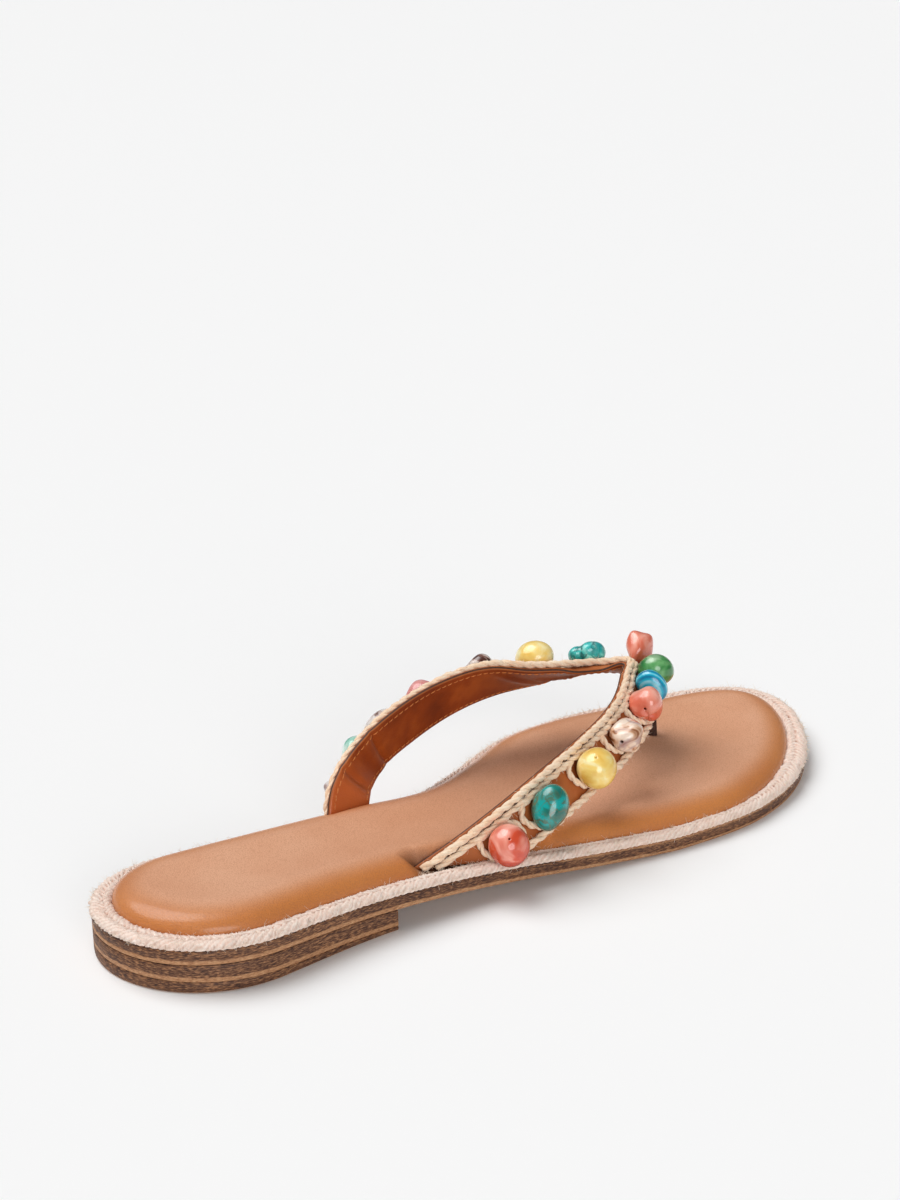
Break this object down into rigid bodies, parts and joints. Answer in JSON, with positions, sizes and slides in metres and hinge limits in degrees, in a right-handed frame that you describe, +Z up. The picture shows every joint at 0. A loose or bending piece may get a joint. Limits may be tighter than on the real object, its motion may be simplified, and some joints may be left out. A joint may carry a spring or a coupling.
{
  "type": "thong sandal",
  "caption": "Flat slip-on thong sandal for a right foot: padded footbed, rope welt, stacked low heel, and V straps set with twine and stone beads.",
  "frame": {"origin": "on the floor, under the middle of the sole's box", "axes": "+X toward the toe, +Y toward the inner side of the foot, +Z up"},
  "size_m": [0.258, 0.088, 0.0422],
  "materials": {
    "stacked_sole": "streaky dark stacked leather with tan lines",
    "tan_leather": "soft tan leather with a fine pebble grain and a slight gloss",
    "brown_leather": "reddish brown leather with a glossy lining",
    "natural_rope": "dry undyed plant fibre, twisted and braided",
    "coral_bead": "glossy marbled coral pink",
    "teal_bead": "polished turquoise with brown veins",
    "yellow_bead": "glossy marbled yellow",
    "shell_bead": "polished cream shell with purple brown marks",
    "blue_bead": "glossy layered bright blue",
    "green_bead": "polished jade green with a pale cap"
  },
  "bodies": {
    "root": {"outsole": "stacked_sole", "heel_lift_upper": "stacked_sole", "heel_lift_lower": "stacked_sole", "footbed": "tan_leather", "rope_welt": "natural_rope", "thong_upper": "brown_leather", "rear_twine": "natural_rope", "inner_twine": "natural_rope", "front_twine": "natural_rope", "bead_01": "coral_bead", "bead_02": "teal_bead", "bead_03": "yellow_bead", "bead_04": "shell_bead", "bead_05": "coral_bead", "bead_06": "blue_bead", "bead_07": "green_bead", "bead_08": "coral_bead", "bead_09": "teal_bead", "bead_10": "yellow_bead", "bead_11": "shell_bead", "bead_12": "coral_bead", "bead_13": "shell_bead", "bead_14": "green_bead", "bead_15": "shell_bead", "bead_loop_01": "natural_rope", "bead_loop_02": "natural_rope", "bead_loop_03": "natural_rope", "bead_loop_04": "natural_rope", "bead_loop_05": "natural_rope", "bead_loop_08": "natural_rope", "bead_loop_09": "natural_rope", "bead_loop_10": "natural_rope", "bead_loop_11": "natural_rope", "bead_loop_12": "natural_rope", "bead_loop_13": "natural_rope", "bead_loop_14": "natural_rope"}
  },
  "joints": []
}
